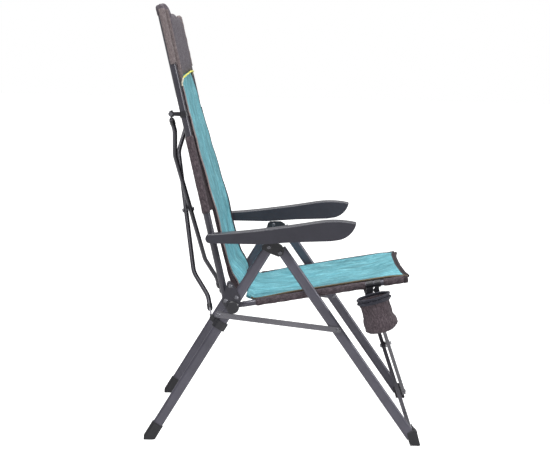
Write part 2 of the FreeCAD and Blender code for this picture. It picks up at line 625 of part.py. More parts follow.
def cup_holder():
    x, y, z = CUP_CENTRE
    rim_at = V(x, -y, z)
    ring = Part.makeTorus(CUP_R, 3.0, V(0, 0, 0), V(0, 0, 1))
    outer = Part.makeCone(CUP_R - 3.0, CUP_R, CUP_DEPTH, V(0, 0, -CUP_DEPTH - 3.4))
    inner = Part.makeCone(CUP_R - 3.0 - CUP_WALL, CUP_R - CUP_WALL, CUP_DEPTH + 0.01, V(0, 0, -CUP_DEPTH - 3.4 + CUP_WALL))
    pouch = outer.cut(inner)
    for shape in (ring, pouch):
        shape.rotate(V(0, 0, 0), V(0, 1, 0), -CUP_TILT)
        shape.translate(rim_at)
    level = (x - SEAT_PIVOT[0]) / seat_way.x
    ty = -TUBE_Y
    tube_hole = tube_along(on_seat(0), on_seat(SEAT_LENGTH), ty, SEAT_R, 0)
    grip = tube_along(on_seat(level + 5), on_seat(level + 22), ty, SEAT_R + 2.2, 0).cut(tube_hole)
    drop = on_seat(level + 13)
    tab = Part.makeBox(11.0, 12.4, 26.0, V(drop[0] - 6.0, -TUBE_Y - 13.4, drop[1] - 31.0)).cut(
        tube_along(on_seat(0), on_seat(SEAT_LENGTH), ty, SEAT_R + 1.0, 0))
    knob = rod((drop[0] - 1.5, drop[1] - 17.5), -TUBE_Y - 13.4, -TUBE_Y - 1.0, 8.0)
    clamp = grip.fuse(tab).fuse(knob).cut(ring).cut(tube_hole)
    sleeve_start = on_seat((FRONT_TOP[0] - SEAT_PIVOT[0]) / seat_way.x + 39.5)
    clamp = clamp.cut(tube_along(sleeve_start, on_seat(SEAT_LENGTH), ty, SEAT_R + SLEEVE_T + 0.05, 0))
    parts["cup_ring"] = ring
    parts["cup_pouch"] = pouch
    parts["cup_clamp"] = clamp.removeSplitter()


for side_name, side_sign in SIDES:
    side_frame(side_name, side_sign)
    backrest(side_name, side_sign)
    armrest(side_name, side_sign)
    seat(side_name, side_sign)
    slider(side_name, side_sign)
rear_brace()
front_brace()
sling()
cup_holder()

for node, shape in parts.items():
    shape.translate(CENTRE_SHIFT)
    shape.exportStep("parts/" + node + ".step")
    if not shape.isValid():
        print("not valid:", node)
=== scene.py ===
import json
import math
import bpy
from mathutils import Matrix, Vector, noise


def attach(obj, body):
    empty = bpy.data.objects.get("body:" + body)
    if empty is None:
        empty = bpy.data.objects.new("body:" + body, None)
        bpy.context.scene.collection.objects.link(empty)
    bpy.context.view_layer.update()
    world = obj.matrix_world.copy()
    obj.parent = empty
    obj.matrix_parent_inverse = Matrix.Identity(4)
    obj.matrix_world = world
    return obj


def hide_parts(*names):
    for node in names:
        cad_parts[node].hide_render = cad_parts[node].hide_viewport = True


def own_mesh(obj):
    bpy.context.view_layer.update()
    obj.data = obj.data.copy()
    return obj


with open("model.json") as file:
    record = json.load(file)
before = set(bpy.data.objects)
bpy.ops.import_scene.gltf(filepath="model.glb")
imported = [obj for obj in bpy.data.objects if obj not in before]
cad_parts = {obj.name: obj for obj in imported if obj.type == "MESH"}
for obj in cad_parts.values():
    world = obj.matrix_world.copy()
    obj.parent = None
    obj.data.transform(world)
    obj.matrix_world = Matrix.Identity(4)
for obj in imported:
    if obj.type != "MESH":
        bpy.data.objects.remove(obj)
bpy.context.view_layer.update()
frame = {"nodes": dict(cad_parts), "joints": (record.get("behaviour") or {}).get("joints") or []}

# ---------------------------------------------------------------- places
# Millimetres, with y measured from the chair's middle plane. The pivots come from the frame.


def pivot(joint_name):
    joint = next(j for j in frame["joints"] if j["name"] == joint_name)
    return [c * 1000.0 for c in joint["pos_m"]]


BACK_PIVOT = pivot("recline")
SEAT_PIVOT = pivot("seat_lift_right")
MID_Y = (BACK_PIVOT[1] + pivot("recline_left")[1]) / 2
TUBE_Y = MID_Y - BACK_PIVOT[1]
BACK_LEAN = math.radians(13.57)
SEAT_RISE = math.radians(10.1)
SEAT_TUBE_END = 478.0
# The seat clamps sit where the front brace's top ends meet the seat tubes.
BRACE_TOP_X = 228.5
CLAMP_ALONG = (BRACE_TOP_X - SEAT_PIVOT[0]) / math.cos(SEAT_RISE)
PAD_HALF = 254.0
HEAD_HALF = 256.0
HEM_Y = 256.3
SIDES = (("right", -1.0), ("left", 1.0))


def at(x, y, z):
    """The point in the frame's metres."""
    return Vector((x / 1000.0, (y + MID_Y) / 1000.0, z / 1000.0))


def on_back(along, front=0.0):
    """x and z of a place so far along the back tubes and so far in front of their axis."""
    c, s = math.cos(BACK_LEAN), math.sin(BACK_LEAN)
    return BACK_PIVOT[0] - s * along + c * front, BACK_PIVOT[2] + c * along + s * front


def on_seat(along, above=0.0):
    """x and z of a place so far along the seat tubes and so far above their axis."""
    c, s = math.cos(SEAT_RISE), math.sin(SEAT_RISE)
    return SEAT_PIVOT[0] + c * along - s * above, SEAT_PIVOT[2] + s * along + c * above


def back_point(along, y, front=0.0):
    x, z = on_back(along, front)
    return at(x, y, z)


def seat_point(along, y, above=0.0):
    x, z = on_seat(along, above)
    return at(x, y, z)


# ---------------------------------------------------------------- curves and noise

def smooth_line(points, n):
    """A Catmull-Rom curve through points (x, z), as n samples at even steps of length."""
    steps = 24
    pts = [Vector((x, z, 0.0)) for x, z in points]
    ext = [pts[0] * 2 - pts[1]] + pts + [pts[-1] * 2 - pts[-2]]
    fine = []
    for p0, p1, p2, p3 in zip(ext, ext[1:], ext[2:], ext[3:]):
        for k in range(steps):
            t = k / steps
            fine.append(0.5 * ((2 * p1) + (p2 - p0) * t + (2 * p0 - 5 * p1 + 4 * p2 - p3) * t * t
                               + (3 * p1 - p0 - 3 * p2 + p3) * t * t * t))
    fine.append(pts[-1])
    return even(fine, n)


def even(line, n):
    """The line again, as n points at even steps of length."""
    run = [0.0]
    for a, b in zip(line, line[1:]):
        run.append(run[-1] + (b - a).length)
    out = []
    j = 0
    for i in range(n):
        want = run[-1] * i / (n - 1)
        while j < len(run) - 2 and run[j + 1] < want:
            j += 1
        span = max(run[j + 1] - run[j], 1e-9)
        out.append(line[j].lerp(line[j + 1], min(max((want - run[j]) / span, 0.0), 1.0)))
    return out


def ramp(x, low, high):
    """0 below low, 1 above high and a smooth step between them."""
    t = min(max((x - low) / (high - low), 0.0), 1.0)
    return t * t * (3 - 2 * t)


def fbm(p, scale, octaves=3):
    """Layered noise; scale is the size of its largest features."""
    total = 0.0
    amp = 1.0
    q = Vector(p) / scale
    for _ in range(octaves):
        total += amp * noise.noise(q)
        q = q * 2.03 + Vector((7.1, 3.3, 5.7))
        amp *= 0.5
    return total


# ---------------------------------------------------------------- meshes

def new_mesh(name, verts, faces, mats, indices=None, uvs=None):
    me = bpy.data.meshes.new(name)
    me.from_pydata([tuple(v) for v in verts], [], faces)
    for mat in mats:
        me.materials.append(mat)
    if indices:
        for poly, i in zip(me.polygons, indices):
            poly.material_index = i
    if uvs:
        layer = me.uv_layers.new(name="UVMap")
        for poly in me.polygons:
            for li in poly.loop_indices:
                layer.data[li].uv = uvs[me.loops[li].vertex_index]
    for poly in me.polygons:
        poly.use_smooth = True
    me.validate()
    me.update()
    ob = bpy.data.objects.new(name, me)
    bpy.context.scene.collection.objects.link(ob)
    return ob


def frames_along(line, closed):
    """Each point of the line with two directions square to it, carried along without twist."""
    out = []
    n = len(line)
    ref = None
    for i, p in enumerate(line):
        before = line[(i - 1) % n] if closed or i > 0 else p
        after = line[(i + 1) % n] if closed or i < n - 1 else p
        way = (after - before).normalized()
        if ref is None:
            up = Vector((0.0, 1.0, 0.0))
            ref = up if abs(way.dot(up)) < 0.9 else Vector((1.0, 0.0, 0.0))
        ref = (ref - way * ref.dot(way)).normalized()
        out.append((p, ref, way.cross(ref).normalized()))
    return out


def tube(name, line, radius, mat, sides=10, closed=False):
    """A tube along the line. radius is metres, or a function of the station and the angle."""
    girth = 0.05
    verts, faces, uvs = [], [], []
    run = 0.0
    last = line[0]
    for i, (p, side, cross) in enumerate(frames_along(line, closed)):
        run += (p - last).length
        last = p
        for k in range(sides):
            a = 2 * math.pi * k / sides
            r = radius(i, a) if callable(radius) else radius
            verts.append(p + side * (math.cos(a) * r) + cross * (math.sin(a) * r))
            uvs.append((k / sides * girth, run))
    n = len(line)
    for i in range(n if closed else n - 1):
        j = (i + 1) % n
        for k in range(sides):
            m = (k + 1) % sides
            faces.append((i * sides + k, i * sides + m, j * sides + m, j * sides + k))
    if not closed:
        faces.append(tuple(range(sides))[::-1])
        faces.append(tuple((n - 1) * sides + k for k in range(sides)))
    return new_mesh(name, verts, faces, [mat], None, uvs)


def shell(name, grid, thick, mat, uvs):
    """A sheet through a grid of points, given its thickness."""
    rows, cols = len(grid), len(grid[0])
    faces = []
    for i in range(rows - 1):
        for j in range(cols - 1):
            a = i * cols + j
            faces.append((a, a + 1, a + cols + 1, a + cols))
    ob = new_mesh(name, [p for row in grid for p in row], faces, [mat], None, uvs)
    mod = ob.modifiers.new("thick", "SOLIDIFY")
    mod.thickness = thick
    mod.offset = 0.0
    dg = bpy.context.evaluated_depsgraph_get()
    me = bpy.data.meshes.new_from_object(ob.evaluated_get(dg), depsgraph=dg)
    ob.modifiers.clear()
    ob.data = me
    for poly in me.polygons:
        poly.use_smooth = True
    return ob


def join(name, obs):
    """One object from several, with their materials and UVs."""
    verts, faces, ids, mats, uvs = [], [], [], [], []
    for ob in obs:
        base = len(verts)
        me = ob.data
        slot = []
        for mat in me.materials:
            if mat not in mats:
                mats.append(mat)
            slot.append(mats.index(mat))
        uv = {}
        for loop in me.loops:
            uv[loop.vertex_index] = tuple(me.uv_layers[0].data[loop.index].uv)
        for v in me.vertices:
            verts.append(v.co.copy())
            uvs.append(uv[v.index])
        for p in me.polygons:
            faces.append(tuple(base + i for i in p.vertices))
            ids.append(slot[p.material_index])
        bpy.data.objects.remove(ob)
    return new_mesh(name, verts, faces, mats, ids, uvs)


# ---------------------------------------------------------------- material nodes

def base_material(name, colour, rough, metallic=0.0, specular=0.5):
    mat = bpy.data.materials.new(name)
    mat.use_nodes = True
    shader = mat.node_tree.nodes["Principled BSDF"]
    shader.inputs["Base Color"].default_value = (*colour, 1.0)
    shader.inputs["Roughness"].default_value = rough
    shader.inputs["Metallic"].default_value = metallic
    shader.inputs["Specular IOR Level"].default_value = specular
    return mat, mat.node_tree, shader


def coords(tree, kind, scale=(1.0, 1.0, 1.0)):
    source = tree.nodes.new("ShaderNodeTexCoord")
    mapping = tree.nodes.new("ShaderNodeMapping")
    mapping.inputs["Scale"].default_value = scale
    tree.links.new(source.outputs[kind], mapping.inputs["Vector"])
    return mapping.outputs["Vector"]


def noise_node(tree, vec, scale, detail, rough):
    node = tree.nodes.new("ShaderNodeTexNoise")
    node.inputs["Scale"].default_value = scale
    node.inputs["Detail"].default_value = detail
    node.inputs["Roughness"].default_value = rough
    tree.links.new(vec, node.inputs["Vector"])
    return node.outputs["Fac"]


def ramp_node(tree, fac, stops):
    node = tree.nodes.new("ShaderNodeValToRGB")
    marks = node.color_ramp.elements
    marks[0].position, marks[0].color = stops[0][0], (*stops[0][1], 1.0)
    marks[1].position, marks[1].color = stops[-1][0], (*stops[-1][1], 1.0)
    for place, colour in stops[1:-1]:
        marks.new(place).color = (*colour, 1.0)
    tree.links.new(fac, node.inputs["Fac"])
    return node.outputs["Color"]


def plug(tree, socket, value):
    """Sets a number or a colour on the socket, or links an output to it."""
    if isinstance(value, (int, float)):
        socket.default_value = value
    elif isinstance(value, tuple):
        socket.default_value = (*value, 1.0)
    else:
        tree.links.new(value, socket)


def mix(tree, kind, fac, a, b):
    node = tree.nodes.new("ShaderNodeMix")
    node.data_type = "RGBA"
    node.blend_type = kind
    for socket, value in (("Factor", fac), ("A", a), ("B", b)):
        plug(tree, node.inputs[socket], value)
    return node.outputs["Result"]


def math_node(tree, operation, a, b):
    node = tree.nodes.new("ShaderNodeMath")
    node.operation = operation
    plug(tree, node.inputs[0], a)
    plug(tree, node.inputs[1], b)
    return node.outputs[0]


def range_node(tree, value, to_range, from_range=(0.0, 1.0)):
    node = tree.nodes.new("ShaderNodeMapRange")
    node.inputs["From Min"].default_value, node.inputs["From Max"].default_value = from_range
    node.inputs["To Min"].default_value, node.inputs["To Max"].default_value = to_range
    tree.links.new(value, node.inputs["Value"])
    return node.outputs["Result"]


def bump(tree, shader, height, strength, distance, below=None):
    node = tree.nodes.new("ShaderNodeBump")
    node.inputs["Strength"].default_value = strength
    node.inputs["Distance"].default_value = distance
    tree.links.new(height, node.inputs["Height"])
    if below is not None:
        tree.links.new(below, node.inputs["Normal"])
    tree.links.new(node.outputs["Normal"], shader.inputs["Normal"])
    return node.outputs["Normal"]


def clouded(tree, shader, vec, colour, scale, dark, light):
    """Varies the colour in soft clouds, from dark to light times itself."""
    low = tuple(c * dark for c in colour)
    high = tuple(min(c * light, 1.0) for c in colour)
    cloud = noise_node(tree, vec, scale, 4.0, 0.6)
    tree.links.new(ramp_node(tree, cloud, [(0.3, low), (0.7, high)]), shader.inputs["Base Color"])


def toned(tree, colour, fac, low, high):
    """Multiplies the colour by a grey that goes from low's value to high's; each is (place, value)."""
    tone = ramp_node(tree, fac, [(low[0], (low[1],) * 3), (high[0], (high[1],) * 3)])
    return mix(tree, "MULTIPLY", 1.0, colour, tone)


# ---------------------------------------------------------------- materials

def coated_metal(name, colour, rough, metallic, grain=900.0):
    """Powder coat or anodised tube: a fine orange peel, faint cloudiness and rubbed patches."""
    mat, tree, shader = base_material(name, colour, rough, metallic)
    vec = coords(tree, "Object")
    clouded(tree, shader, vec, colour, 9.0, 0.80, 1.22)
    wear = range_node(tree, noise_node(tree, vec, 38.0, 5.0, 0.65), (rough * 0.82, rough * 1.25), (0.3, 0.75))
    tree.links.new(wear, shader.inputs["Roughness"])
    bump(tree, shader, noise_node(tree, vec, grain, 2.0, 0.5), 0.12, 0.0004)
    shader.inputs["Coat Weight"].default_value = 0.45
    shader.inputs["Coat Roughness"].default_value = 0.16
    return mat


def moulded(name, colour, rough, grain=1300.0, strength=0.35):
    """Moulded plastic: fine spark-eroded grain and slightly uneven gloss."""
    mat, tree, shader = base_material(name, colour, rough)
    vec = coords(tree, "Object")
    clouded(tree, shader, vec, colour, 14.0, 0.86, 1.16)
    gloss = range_node(tree, noise_node(tree, vec, 55.0, 4.0, 0.6), (rough * 0.85, rough * 1.18))
    tree.links.new(gloss, shader.inputs["Roughness"])
    bump(tree, shader, noise_node(tree, vec, grain, 2.0, 0.6), strength, 0.0003)
    shader.inputs["Coat Weight"].default_value = 0.35
    shader.inputs["Coat Roughness"].default_value = 0.16
    return mat


def woven(name, dark, mid, light, streak, pitch=0.0016, sheen=0.04, lint=None, patches=0.0, strokes=0.0):
    """Plain-woven polyester from mixed yarns: long heather streaks, crossing threads and a soft nap.

    streak is how many streaks a metre holds across and along the cloth, and pitch is the threads' in metres.
    """
    mat, tree, shader = base_material(name, mid, 0.85, 0.0, 0.3)
    wide, long = streak
    plain = coords(tree, "UV")
    yarns = coords(tree, "UV", (wide * 2.6, long * 5.0, 1.0))
    streaks = noise_node(tree, coords(tree, "UV", (wide, long, 1.0)), 1.0, 3.0, 0.62)
    flecks = noise_node(tree, yarns, 1.0, 2.0, 0.6)
    both = math_node(tree, "ADD", math_node(tree, "MULTIPLY", streaks, 0.62),
                     math_node(tree, "MULTIPLY", flecks, 0.38))
    colour = ramp_node(tree, both, [(0.34, dark), (0.5, mid), (0.66, light)])
    if patches:
        cloud = noise_node(tree, plain, 6.0, 3.0, 0.55)
        colour = toned(tree, colour, cloud, (0.35, 1 - patches), (0.65, 1 + patches * 0.6))
    if strokes:
        brushed = noise_node(tree, coords(tree, "UV", (26.0, 11.0, 9.0)), 1.0, 4.0, 0.62)
        colour = toned(tree, colour, brushed, (0.32, 1 - strokes), (0.68, 1 + strokes))
    if lint:
        specks = noise_node(tree, yarns, 3.1, 1.0, 0.5)
        mask = ramp_node(tree, specks, [(0.62, (0, 0, 0)), (0.72, (1, 1, 1))])
        split = tree.nodes.new("ShaderNodeSeparateColor")
        tree.links.new(mask, split.inputs["Color"])
        colour = mix(tree, "MIX", math_node(tree, "MULTIPLY", split.outputs[0], 0.45), colour, lint)
    threads = []
    for axis in ("X", "Y"):
        wave = tree.nodes.new("ShaderNodeTexWave")
        wave.wave_type = "BANDS"
        wave.bands_direction = axis
        # At scale 1 the bands repeat every 2 pi / 20.
        wave.inputs["Scale"].default_value = math.pi / 10 / pitch
        wave.inputs["Distortion"].default_value = 0.6
        wave.inputs["Detail"].default_value = 1.0
        tree.links.new(plain, wave.inputs["Vector"])
        threads.append(wave.outputs["Fac"])
    weave = math_node(tree, "MAXIMUM", *threads)
    tree.links.new(toned(tree, colour, weave, (0.2, 0.86), (0.9, 1.04)), shader.inputs["Base Color"])
    nap = bump(tree, shader, noise_node(tree, plain, 26.0, 4.0, 0.55), 0.30, 0.0035)
    bump(tree, shader, weave, 0.35, 0.00035, nap)
    shader.inputs["Sheen Weight"].default_value = sheen
    shader.inputs["Sheen Roughness"].default_value = 0.5
    return mat


tube_coat = coated_metal("coated_tube", (0.090, 0.086, 0.112), 0.34, 0.35)
back_coat = coated_metal("coated_back_tube", (0.052, 0.050, 0.064), 0.32, 0.35)
brace_coat = coated_metal("coated_brace", (0.052, 0.050, 0.062), 0.30, 0.40)
strut_coat = coated_metal("coated_strut", (0.150, 0.146, 0.165), 0.30, 0.50)
plate_coat = coated_metal("coated_plate", (0.024, 0.023, 0.033), 0.34, 0.20)
rivet_steel = coated_metal("rivet_steel", (0.34, 0.34, 0.36), 0.26, 0.85, 1500.0)
dark_rivet = coated_metal("dark_rivet", (0.16, 0.16, 0.18), 0.28, 0.7, 1500.0)
arm_plastic = moulded("arm_plastic", (0.029, 0.028, 0.040), 0.30)
black_plastic = moulded("black_plastic", (0.0120, 0.0118, 0.0165), 0.38)
foot_plastic = moulded("foot_plastic", (0.0110, 0.0108, 0.0150), 0.55, 900.0, 0.5)
teal = woven("teal_weave", (0.070, 0.245, 0.300), (0.135, 0.400, 0.465), (0.285, 0.600, 0.660),
             (78.0, 19.0), patches=0.16, strokes=0.26)
brown = woven("brown_weave", (0.030, 0.022, 0.027), (0.075, 0.057, 0.066), (0.150, 0.118, 0.130),
              (260.0, 90.0), 0.0013, lint=(0.24, 0.20, 0.21), strokes=0.14)
dark_brown = woven("dark_brown_weave", (0.020, 0.014, 0.017), (0.040, 0.029, 0.034), (0.078, 0.058, 0.062),
                   (420.0, 120.0), 0.0013)
heather = woven("grey_heather", (0.040, 0.032, 0.040), (0.098, 0.083, 0.098), (0.215, 0.190, 0.212),
                (150.0, 110.0), 0.0012, lint=(0.32, 0.29, 0.32), strokes=0.16)
pale_heather = woven("pale_heather", (0.080, 0.062, 0.064), (0.160, 0.130, 0.132), (0.29, 0.245, 0.245),
                     (460.0, 120.0), 0.0012, lint=(0.46, 0.42, 0.42))
band_black = woven("black_band", (0.012, 0.012, 0.018), (0.030, 0.030, 0.043), (0.085, 0.085, 0.110),
                   (300.0, 60.0), 0.0011, sheen=0.1)
gold_pipe = woven("olive_piping", (0.10, 0.075, 0.045), (0.19, 0.150, 0.095), (0.30, 0.25, 0.17),
                  (600.0, 200.0), 0.0009)
# Pale piping for the back pad's near rim: partly its own pale colour, partly a painted highlight along the
# rim.
pale_pipe_painted_highlight = woven("pale_piping_painted_highlight", (0.20, 0.15, 0.15), (0.34, 0.28, 0.28), (0.48, 0.43, 0.43),
                  (600.0, 200.0), 0.0009)
lime = woven("lime_piping", (0.62, 0.58, 0.09), (0.80, 0.76, 0.13), (0.93, 0.90, 0.26),
             (600.0, 200.0), 0.0009, sheen=0.1)
cream = woven("cream_piping", (0.55, 0.50, 0.36), (0.72, 0.68, 0.52), (0.85, 0.82, 0.68),
              (600.0, 200.0), 0.0009, sheen=0.1)
thread = woven("sewing_thread", (0.10, 0.26, 0.31), (0.15, 0.36, 0.43), (0.21, 0.46, 0.54),
               (900.0, 300.0), 0.0005)

# The finish of a CAD node goes by how its name starts; the rest are black plastic.
FINISHES = [("rear_leg", tube_coat), ("front_leg", tube_coat), ("back_tube", back_coat),
            ("seat_tube", tube_coat), ("link_bar", strut_coat), ("rear_brace_tube", brace_coat),
            ("front_brace_strut", strut_coat), ("hinge_plate", plate_coat), ("front_brace_ear", plate_coat),
            ("rear_brace_yoke", plate_coat), ("frame_rivets", dark_rivet), ("arm_bolt", dark_rivet),
            ("rear_brace_rivets", dark_rivet), ("front_brace_rivets", rivet_steel),
            ("rear_brace_pin", dark_rivet), ("armrest", arm_plastic), ("rear_foot", foot_plastic),
            ("front_foot", foot_plastic)]


def finish_frame():
    for node, ob in frame["nodes"].items():
        mat = next((m for start, m in FINISHES if node.startswith(start)), black_plastic)
        if ob.data.materials:
            for material_slot in ob.material_slots:
                material_slot.material = mat
        else:
            ob.data.materials.append(mat)


# ---------------------------------------------------------------- what rides on what

def rides(ob, body):
    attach(ob, body)


def crumples(ob, body):
    """For fabric between the side frames, which rides on the right one and gets a mesh of its own."""
    rides(ob, body)
    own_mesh(ob)


# ---------------------------------------------------------------- back and seat pads

ACROSS = 44
RIM = [(0.996, 0.72), (1.0, 0.30), (1.0, -0.30), (0.996, -0.72)]


def pad_ring():
    """Places round a pad's section: -1 to 1 across it, and 1 on its face to -1 on its rear."""
    steps = [-1 + 2 * k / (ACROSS - 1) for k in range(ACROSS)]
    face = [0.985 * (0.35 * math.sin(math.pi / 2 * s) + 0.65 * s) for s in steps]
    return ([(u, 1.0) for u in face] + RIM
            + [(u, -1.0) for u in face[::-1]] + [(-u, w) for u, w in RIM[::-1]])


def pad(name, fronts, rears, n_along, sag, wrinkle, drawn, puff=3.0, front_band=0, teal_end=0):
    """A thin quilted panel between two profiles, its rim rounded and its middle hanging slack.

    Its face is teal but for the last front_band rows. So are the first teal_end rows of its rim and rear.
    Returns it and the rows of points round its section, in millimetres.
    """
    front_line = smooth_line(fronts, n_along)
    rear_line = smooth_line(rears, n_along)
    ring = pad_ring()
    verts, uvs, rows = [], [], []
    length = 0.0
    for i in range(n_along):
        if i:
            length += (front_line[i] - front_line[i - 1]).length / 1000.0
        v = i / (n_along - 1)
        end = min(v, 1 - v)
        middle = (front_line[i] + rear_line[i]) / 2
        half_thick = (front_line[i] - rear_line[i]) / 2
        out = half_thick.normalized()
        taper = min(1.0, 0.45 + 0.55 * end / 0.012)
        row = []
        for u, w in ring:
            y = u * PAD_HALF
            slack = sag(v) * (1 - u * u) ** 0.8
            plump = puff * (1 - abs(u) ** 6) * min(1.0, end / 0.03) if w > 0.9 else 0.0
            fold = wrinkle(u, v, Vector((middle.x, y, middle.y)))
            if w <= 0.5:
                fold *= 0.5
            off = half_thick.length * w * taper - slack + plump + fold * (1 - abs(u) ** 10)
            dx, dz = drawn(u, v)
            x = middle.x + out.x * off + dx
            z = middle.y + out.y * off + dz
            row.append(Vector((x, y, z)))
            verts.append(at(x, y, z))
            uvs.append((y / 1000.0, length + w * 0.004))
        rows.append(row)
    m = len(ring)
    faces, ids = [], []
    for i in range(n_along - 1):
        for k in range(m):
            a, b = i * m + k, i * m + (k + 1) % m
            faces.append((a, b, b + m, a + m))
            face = k < ACROSS - 1
            banded = face and i >= n_along - 1 - front_band
            ids.append(1 if banded or not (face or i < teal_end) else 0)
    faces.append(tuple(range(m))[::-1])
    faces.append(tuple((n_along - 1) * m + k for k in range(m)))
    ids += [1, 1]
    return new_mesh(name, verts, faces, [teal, dark_brown], ids, uvs), rows


def back_sag(v):
    return (5.0 + 4.0 * ramp(v, 0.0, 0.3) + 5.0 * ramp(v, 0.55, 0.75)) * (1 - ramp(v, 0.9, 1.0))


def back_wrinkle(u, v, q):
    low_edge = ramp(abs(u), 0.55, 0.95) * ramp(v, 0.45, 0.7)
    gathers = math.sin((q.z * 0.9 + abs(q.y) * 1.1) / 13.0 + 3.0 * fbm(q, 90.0, 2)) * low_edge
    long_fold = fbm(Vector((q.y * 1.6, q.z * 0.45, 4.0)), 70.0)
    pull = fbm(Vector((q.y * 0.9 + q.z * 0.8, q.z * 0.25 - q.y * 0.2, 1.0)), 42.0, 2)
    return 2.2 * fbm(q, 75.0) + 2.3 * long_fold + 1.1 * pull + 1.5 * gathers * (1 - ramp(v, 0.93, 1.0))


def back_drawn(u, v):
    """The far upper edge sits further back, and both edges wave a little."""
    far = ramp(u, 0.2, 1.0) * (1 - ramp(v, 0.05, 0.50)) + 0.5 * ramp(u, 0.4, 1.0) * (1 - ramp(v, 0.0, 0.12))
    wave = abs(u) ** 4 * 1.6 * fbm(Vector((u * 9.0, v * 640.0, 3.0)), 55.0, 2)
    return -7.0 * far + wave, 0.0


def back_panel():
    """The backrest's pad, from its top under the headrest down to the seat."""
    fronts = [on_back(along, f) for along, f in
              ((650.0, 11.0), (606.0, 13.0), (530.0, 15.0), (470.0, 17.5), (385.0, 20.5), (310.0, 24.5),
               (232.0, 29.0), (180.0, 28.8), (130.0, 28.3))]
    fronts += [(-145.5, 466.0), (-130.0, 439.5), (-116.0, 409.5)]
    rears = [on_back(along, f) for along, f in
             ((650.0, 1.0), (606.0, 0.5), (530.0, 3.0), (470.0, 6.5), (385.0, 9.5), (310.0, 13.0),
              (232.0, 18.0), (180.0, 19.5), (130.0, 19.5))]
    rears += [(-153.5, 462.0), (-139.0, 434.5), (-126.0, 405.5)]
    ob, rows = pad("back_pad", fronts, rears, 130, back_sag, back_wrinkle, back_drawn, puff=1.5)
    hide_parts("back_panel")
    crumples(ob, "back_right")
    return rows


def seat_sag(v):
    return 13.0 * ramp(v, 0.04, 0.35) * (1 - ramp(v, 0.8, 1.0))


def seat_wrinkle(u, v, q):
    edge = ramp(abs(u), 0.6, 0.95)
    gathers = math.sin((q.x * 0.35 + abs(q.y) * 1.0) / 12.0 + 3.0 * fbm(q, 80.0, 2)) * edge
    across = fbm(Vector((q.x * 1.5, q.y * 0.5, 9.0)), 70.0)
    pull = fbm(Vector((q.x * 0.5 + q.y * 0.9, q.x * 0.3, 5.0)), 45.0, 2)
    return 2.0 * fbm(q, 70.0) + 2.1 * across + 1.2 * pull + 1.2 * gathers * ramp(v, 0.03, 0.12)


def seat_drawn(u, v):
    """The rear corners tuck down and in, and the front corners stand forward."""
    corner = abs(u) ** 5
    rear = corner * (1 - ramp(v, 0.0, 0.30))
    front = ramp(v, 0.90, 1.0)
    turn = abs(u) ** 8 * (1 - ramp(v, 0.0, 0.07))
    return (-6.0 * rear + 11.0 * abs(u) ** 3 * front + 5.0 * turn,
            -7.5 * rear - 1.5 * corner * front + 7.0 * turn)


def seat_panel():
    fronts = [(-106.0, 395.0), (-101.0, 402.5), (-88.0, 399.0)]
    fronts += [on_seat(along, up) for along, up in
               ((80.0, 12.6), (200.0, 12.6), (330.0, 13.0), (440.0, 12.6), (470.0, 10.5))]
    rears = [(-101.5, 390.0), (-98.0, 389.0), (-84.0, 389.0)]
    rears += [on_seat(along, up) for along, up in
              ((80.0, 4.0), (200.0, 4.2), (330.0, 4.4), (440.0, 4.2), (470.0, 3.2))]
    ob, rows = pad("seat_pad", fronts, rears, 96, seat_sag, seat_wrinkle, seat_drawn,
                   front_band=2, teal_end=7)
    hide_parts("seat_panel")
    crumples(ob, "seat_right")
    return rows


# ---------------------------------------------------------------- piping and sewing

def rim_line(rows, s):
    """The line just outside the right (-1) or left (1) rim of a pad, by its face."""
    k = ACROSS if s > 0 else len(rows[0]) - 1
    return [at(row[k].x, row[k].y + s * 0.6, row[k].z) for row in rows]


def stitches(name, line):
    """A row of short thread lozenges along the line."""
    pitch, long, r = 0.0042, 0.0027, 0.00042
    total = sum((b - a).length for a, b in zip(line, line[1:]))
    pts = even(line, max(int(total / (pitch / 2)), 4))
    verts, faces = [], []
    for i in range(0, len(pts) - 1, 2):
        way = (pts[i + 1] - pts[i]).normalized()
        side = way.cross(Vector((0, 1, 0.01))).normalized()
        up = way.cross(side)
        start, end = pts[i], pts[i] + way * long
        mid = (start + end) / 2
        base = len(verts)
        verts += [start, mid + side * r, mid + up * r, mid - side * r, mid - up * r, end]
        for j in range(4):
            a, b = base + 1 + j, base + 1 + (j + 1) % 4
            faces.append((base, a, b))
            faces.append((base + 5, b, a))
    return new_mesh(name, verts, faces, [thread])


def piping(back_rows, seat_rows):
    near = rim_line(back_rows, -1)
    # The far rim's piping leans on the pad where the pad stands proud of it.
    far = [p + Vector((0.0020, 0.0, 0.0)) * ramp(-p.z, -0.72, -0.60) for p in rim_line(back_rows, 1)]
    # The near piping's pale colour is partly a painted highlight along the rim; the far piping is dark brown.
    ob = join("back_piping", [tube("p1", even(near, 160), 0.0019, pale_pipe_painted_highlight, 8),
                              tube("p2", even(far, 160), 0.0028, dark_brown, 8)])
    crumples(ob, "back_right")
    near = rim_line(seat_rows, -1)[5:]
    far = rim_line(seat_rows, 1)[5:]
    front = [at(p.x + 1.2, p.y, p.z + 0.4) for p in seat_rows[-1][:ACROSS]]
    ob = join("seat_piping", [tube("p1", even(near, 120), 0.0027, gold_pipe, 8),
                              tube("p2", even(far, 120), 0.0027, dark_brown, 8),
                              tube("p3", even(front, 60), 0.0046, dark_brown, 10)])
    crumples(ob, "seat_right")


def sewing(rows, part):
    """A row of stitches inside the piping on each side of the pad."""
    for side, k in (("right", 1), ("left", ACROSS - 2)):
        line = [at(*row[k]) for row in rows[3:-3]]
        crumples(stitches(part + "_sewing_" + side, line), part + "_right")


# ---------------------------------------------------------------- flaps and corners

